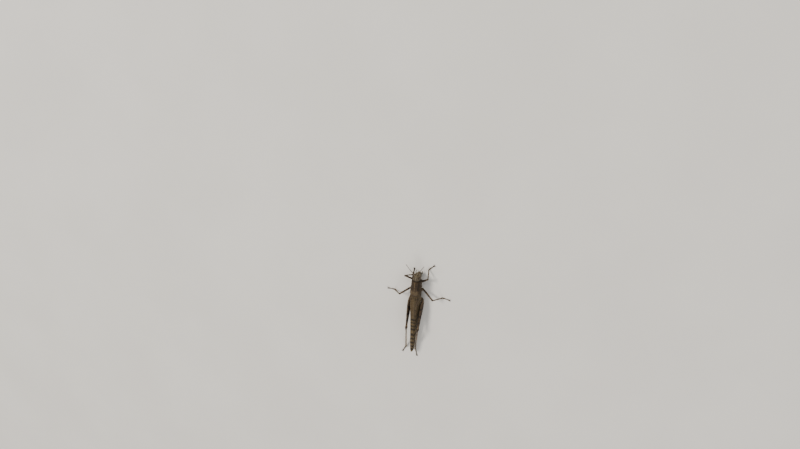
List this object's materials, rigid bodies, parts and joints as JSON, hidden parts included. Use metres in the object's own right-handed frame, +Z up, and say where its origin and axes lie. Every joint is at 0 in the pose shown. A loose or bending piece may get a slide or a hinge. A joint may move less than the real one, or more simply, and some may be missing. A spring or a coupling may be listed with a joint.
{
  "type": "locust",
  "caption": "Life-size still locust standing on spread legs, wings folded like a roof over its back, feelers raised in a V.",
  "frame": {"origin": "on the floor under the feet, at the middle of the animal's length and width", "axes": "+Z up from the floor, +Y towards the tail with the face looking along -Y, +X towards the animal's left side"},
  "size_m": [0.0424, 0.0786, 0.0124],
  "materials": {
    "cuticle": "satin insect shell, dark grey brown with fine speckles",
    "pronotum": "satin, pitted shell with a pale line along the middle of the back",
    "eye": "glossy, upright dark and cream stripes",
    "feeler": "satin, ringed",
    "belly": "satin, dark bands on buff",
    "forewing": "leathery, smoky cross bands between raised veins",
    "hindwing": "thin clear to smoky membrane",
    "thigh": "satin, herringbone ridges and dark bands",
    "shin": "satin violet grey, pale thorns with dark points",
    "foot": "matt, pale pads and dark claws"
  },
  "bodies": {
    "root": {"abdomen": "belly", "antenna_left": "feeler", "antenna_right": "feeler", "cercus_left": "belly", "cercus_right": "belly", "coxa_fore_left": "cuticle", "coxa_fore_right": "cuticle", "coxa_hind_left": "cuticle", "coxa_hind_right": "cuticle", "coxa_mid_left": "cuticle", "coxa_mid_right": "cuticle", "eye_left": "eye", "eye_right": "eye", "femur_fore_left": "thigh", "femur_fore_right": "thigh", "femur_hind_left": "thigh", "femur_hind_right": "thigh", "femur_mid_left": "thigh", "femur_mid_right": "thigh", "head": "cuticle", "hindwing_left": "hindwing", "hindwing_right": "hindwing", "palp_labial_left": "feeler", "palp_labial_right": "feeler", "palp_maxillary_left": "feeler", "palp_maxillary_right": "feeler", "pronotum": "pronotum", "subgenital_plate": "belly", "tarsus_fore_left": "foot", "tarsus_fore_right": "foot", "tarsus_hind_left": "foot", "tarsus_hind_right": "foot", "tarsus_mid_left": "foot", "tarsus_mid_right": "foot", "tegmen_left": "forewing", "tegmen_right": "forewing", "thorax": "cuticle", "tibia_fore_left": "shin", "tibia_fore_right": "shin", "tibia_hind_left": "shin", "tibia_hind_right": "shin", "tibia_mid_left": "shin", "tibia_mid_right": "shin"}
  },
  "joints": []
}
